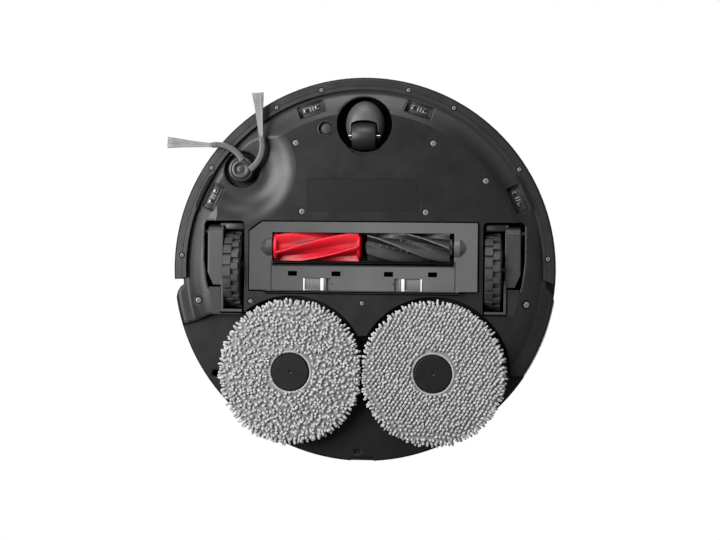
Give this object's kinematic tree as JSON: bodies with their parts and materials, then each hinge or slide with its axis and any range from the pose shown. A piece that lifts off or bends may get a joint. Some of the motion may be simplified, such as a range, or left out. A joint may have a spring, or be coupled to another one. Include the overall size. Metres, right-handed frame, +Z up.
{
  "type": "robot vacuum",
  "caption": "Round robot vacuum with spinning mops, split roller brush, corner brush, drive wheels, caster, bumper and laser turret.",
  "frame": {"origin": "on the floor, midway between the drive wheels, below the centre of the round body", "axes": "+Z up from the floor; -Y is the robot's front, where the bumper is; -X is its right side, where the corner brush is"},
  "size_m": [0.3488, 0.3476, 0.1],
  "materials": {
    "charcoal_shell": "fine moulded texture",
    "charcoal_gloss": "satin",
    "battery_wrap": "shrink wrap",
    "board_green": "solder mask",
    "inner_plastic": "moulded",
    "motor_steel": "satin",
    "tank_plastic": "smoked",
    "screw_steel": "zinc plated",
    "black_plastic": "moulded",
    "sensor_lens": "polished",
    "label_film": "printed film without print",
    "contact_metal": "nickel plated",
    "dark_window": "polished",
    "axle_steel": "ground",
    "bin_smoke": "smoked",
    "filter_media": "pleated",
    "arm_grey": "moulded",
    "tyre_rubber": "moulded tread",
    "caster_grey": "satin",
    "caster_roller": "smooth",
    "brush_grey": "moulded",
    "pale_bristle": "nylon bristles",
    "cover_grey": "moulded",
    "latch_silver": "satin",
    "roller_red": "matt",
    "roller_grey": "matt",
    "mop_chenille": "chenille tufts"
  },
  "bodies": {
    "body": {"bottom_chassis": "charcoal_shell", "upper_housing": "charcoal_gloss", "battery_pack": "battery_wrap", "main_board": "board_green", "fan_housing": "inner_plastic", "brush_chamber": "inner_plastic", "brush_motor": "motor_steel", "side_brush_motor": "motor_steel", "water_tank": "tank_plastic", "chassis_screws": "screw_steel", "cliff_sensors": "black_plastic", "cliff_lenses": "sensor_lens", "carpet_sensor": "black_plastic", "rating_label": "label_film", "charging_contacts": "contact_metal", "dock_window": "dark_window", "lidar_base": "black_plastic", "arm_pins": "motor_steel", "roller_bearings": "inner_plastic"},
    "lid": {"top_lid": "charcoal_gloss"},
    "dust_bin": {"dustbin_body": "bin_smoke", "dustbin_lid": "inner_plastic", "dustbin_filter": "filter_media"},
    "bumper": {"bumper_shell": "charcoal_gloss", "bumper_skirt": "charcoal_shell", "bumper_window": "dark_window", "bumper_screws": "screw_steel"},
    "lidar": {"lidar_rotor": "black_plastic"},
    "turret": {"turret_cap": "charcoal_gloss"},
    "left_arm": {"left_wheel_arm": "arm_grey"},
    "right_arm": {"right_wheel_arm": "arm_grey"},
    "left_wheel": {"left_tyre": "tyre_rubber", "left_wheel_hub": "black_plastic"},
    "right_wheel": {"right_tyre": "tyre_rubber", "right_wheel_hub": "black_plastic"},
    "caster": {"caster_swivel": "caster_grey", "caster_axle": "axle_steel"},
    "caster_roller": {"caster_wheel": "caster_roller"},
    "side_brush": {"side_brush_hub": "brush_grey", "side_brush_arms": "brush_grey", "side_brush_bristles": "pale_bristle", "side_brush_screw": "brush_grey"},
    "cover": {"brush_cover": "cover_grey", "cover_scraper": "black_plastic"},
    "left_latch": {"left_cover_latch": "latch_silver"},
    "right_latch": {"right_cover_latch": "latch_silver"},
    "red_roller": {"red_roller_core": "roller_red", "red_roller_fins": "roller_red"},
    "grey_roller": {"grey_roller_core": "roller_grey", "grey_roller_fins": "roller_grey"},
    "left_mop_drive": {"left_mop_gearbox": "inner_plastic"},
    "right_mop_drive": {"right_mop_gearbox": "inner_plastic"},
    "left_mop": {"left_mop_plate": "black_plastic", "left_mop_pad": "mop_chenille"},
    "right_mop": {"right_mop_plate": "black_plastic", "right_mop_pad": "mop_chenille"},
    "fan": {"fan_impeller": "inner_plastic"},
    "power_key": {"power_button": "black_plastic"},
    "dock_key": {"dock_button": "black_plastic"}
  },
  "joints": [
    {"name": "bumper_push", "type": "slide", "parent": "body", "child": "bumper", "axis": [0, 1, 0], "range_m": [0, 0.004], "stiffness_N_per_m": 300, "springref_m": -0.003},
    {"name": "left_wheel_drop", "type": "hinge", "parent": "body", "child": "left_arm", "pos_m": [0.135, -0.032, 0.02], "axis": [-1, 0, 0], "range_deg": [0, 12], "stiffness_Nm_per_rad": 0.6, "springref_deg": 20},
    {"name": "right_wheel_drop", "type": "hinge", "parent": "body", "child": "right_arm", "pos_m": [-0.135, -0.032, 0.02], "axis": [-1, 0, 0], "range_deg": [0, 12], "stiffness_Nm_per_rad": 0.6, "springref_deg": 20},
    {"name": "left_wheel_spin", "type": "hinge", "parent": "left_arm", "child": "left_wheel", "pos_m": [0.1175, 0.001, 0.036], "axis": [1, 0, 0], "continuous": true},
    {"name": "right_wheel_spin", "type": "hinge", "parent": "right_arm", "child": "right_wheel", "pos_m": [-0.1175, 0.001, 0.036], "axis": [1, 0, 0], "continuous": true},
    {"name": "caster_turn", "type": "hinge", "parent": "body", "child": "caster", "pos_m": [0, -0.1301, 0.034], "axis": [0, 0, 1], "continuous": true},
    {"name": "caster_roll", "type": "hinge", "parent": "caster", "child": "caster_roller", "pos_m": [0, -0.1193, 0.0125], "axis": [1, 0, 0], "continuous": true},
    {"name": "side_brush_spin", "type": "hinge", "parent": "body", "child": "side_brush", "pos_m": [-0.1111, -0.0888, 0.018], "axis": [0, 0, 1], "continuous": true},
    {"name": "cover_drop", "type": "slide", "parent": "body", "child": "cover", "axis": [0, 0, -1], "range_m": [0, 0.02]},
    {"name": "left_latch_slide", "type": "slide", "parent": "cover", "child": "left_latch", "axis": [-1, 0, 0], "range_m": [0, 0.0035], "stiffness_N_per_m": 300, "springref_m": -0.002},
    {"name": "right_latch_slide", "type": "slide", "parent": "cover", "child": "right_latch", "axis": [1, 0, 0], "range_m": [0, 0.0035], "stiffness_N_per_m": 300, "springref_m": -0.002},
    {"name": "red_roller_spin", "type": "hinge", "parent": "body", "child": "red_roller", "pos_m": [-0.04, -0.0196, 0.0155], "axis": [1, 0, 0], "continuous": true},
    {"name": "grey_roller_spin", "type": "hinge", "parent": "body", "child": "grey_roller", "pos_m": [0.04, -0.0196, 0.0155], "axis": [1, 0, 0], "continuous": true},
    {"name": "left_mop_lift", "type": "slide", "parent": "body", "child": "left_mop_drive", "axis": [0, 0, 1], "range_m": [0, 0.008]},
    {"name": "right_mop_lift", "type": "slide", "parent": "body", "child": "right_mop_drive", "axis": [0, 0, 1], "range_m": [0, 0.008]},
    {"name": "left_mop_spin", "type": "hinge", "parent": "left_mop_drive", "child": "left_mop", "pos_m": [0.064, 0.093, 0.03], "axis": [0, 0, 1], "continuous": true},
    {"name": "right_mop_spin", "type": "hinge", "parent": "right_mop_drive", "child": "right_mop", "pos_m": [-0.064, 0.093, 0.03], "axis": [0, 0, 1], "continuous": true},
    {"name": "fan_spin", "type": "hinge", "parent": "body", "child": "fan", "pos_m": [0.098, -0.085, 0.03], "axis": [0, 0, 1], "continuous": true},
    {"name": "lidar_spin", "type": "hinge", "parent": "body", "child": "lidar", "pos_m": [0, 0.05, 0.082], "axis": [0, 0, 1], "continuous": true},
    {"name": "turret_press", "type": "slide", "parent": "body", "child": "turret", "axis": [0, 0, -1], "range_m": [0, 0.0012], "stiffness_N_per_m": 900, "springref_m": -0.001},
    {"name": "power_press", "type": "slide", "parent": "body", "child": "power_key", "axis": [0, 0, -1], "range_m": [0, 0.0008], "stiffness_N_per_m": 500, "springref_m": -0.001},
    {"name": "dock_press", "type": "slide", "parent": "body", "child": "dock_key", "axis": [0, 0, -1], "range_m": [0, 0.0008], "stiffness_N_per_m": 500, "springref_m": -0.001},
    {"name": "lid_lift", "type": "slide", "parent": "body", "child": "lid", "axis": [0, 0, 1], "range_m": [0, 0.12]},
    {"name": "bin_lift", "type": "slide", "parent": "body", "child": "dust_bin", "axis": [0, 0, 1], "range_m": [0, 0.072]}
  ],
  "couplings": [
    {"joint": "grey_roller_spin", "follows": "red_roller_spin", "ratio": 1},
    {"joint": "right_mop_lift", "follows": "left_mop_lift", "ratio": 1},
    {"joint": "right_mop_spin", "follows": "left_mop_spin", "ratio": -1},
    {"joint": "bin_lift", "follows": "lid_lift", "ratio": 0.6}
  ]
}
